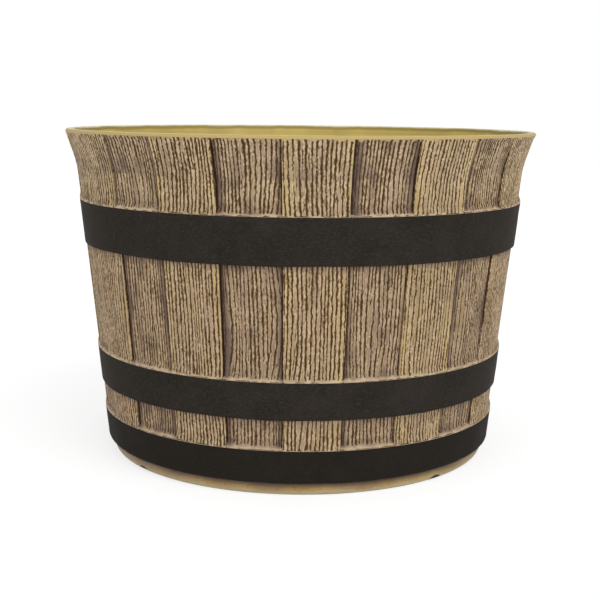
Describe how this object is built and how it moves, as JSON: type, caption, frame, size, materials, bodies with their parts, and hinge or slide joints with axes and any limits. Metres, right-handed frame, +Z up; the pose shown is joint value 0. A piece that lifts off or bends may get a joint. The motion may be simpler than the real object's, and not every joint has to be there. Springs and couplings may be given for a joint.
{
  "type": "barrel planter",
  "caption": "Round floor planter shaped like a flared half barrel: wood-look staves, alternately proud and set back, bound by three dark hoops round a moulded tub.",
  "frame": {"origin": "middle of the foot's underside, on the floor", "axes": "+Z up along the tub's axis; -Y is the front, where a proud stave faces the viewer; +X to the viewer's right"},
  "size_m": [0.51, 0.5098, 0.351],
  "materials": {
    "tub": "moulded tan to yellow-olive resin, smooth with fine rings inside, softly rubbed on the rim bead and foot",
    "stave": "moulded resin with a deep rough-sawn oak grain, tan ridges with dark brown wash in the grooves and grey-purple smudges at the set-back edges",
    "hoop": "black-brown satin paint with slight mottling, like old iron bands"
  },
  "bodies": {
    "root": {"tub": "tub", "stave_01": "stave", "stave_02": "stave", "stave_03": "stave", "stave_04": "stave", "stave_05": "stave", "stave_06": "stave", "stave_07": "stave", "stave_08": "stave", "stave_09": "stave", "stave_10": "stave", "stave_11": "stave", "stave_12": "stave", "stave_13": "stave", "stave_14": "stave", "stave_15": "stave", "stave_16": "stave", "stave_17": "stave", "stave_18": "stave", "stave_19": "stave", "stave_20": "stave", "stave_21": "stave", "stave_22": "stave", "stave_23": "stave", "stave_24": "stave", "bottom_hoop": "hoop", "middle_hoop": "hoop", "top_hoop": "hoop"}
  },
  "joints": []
}
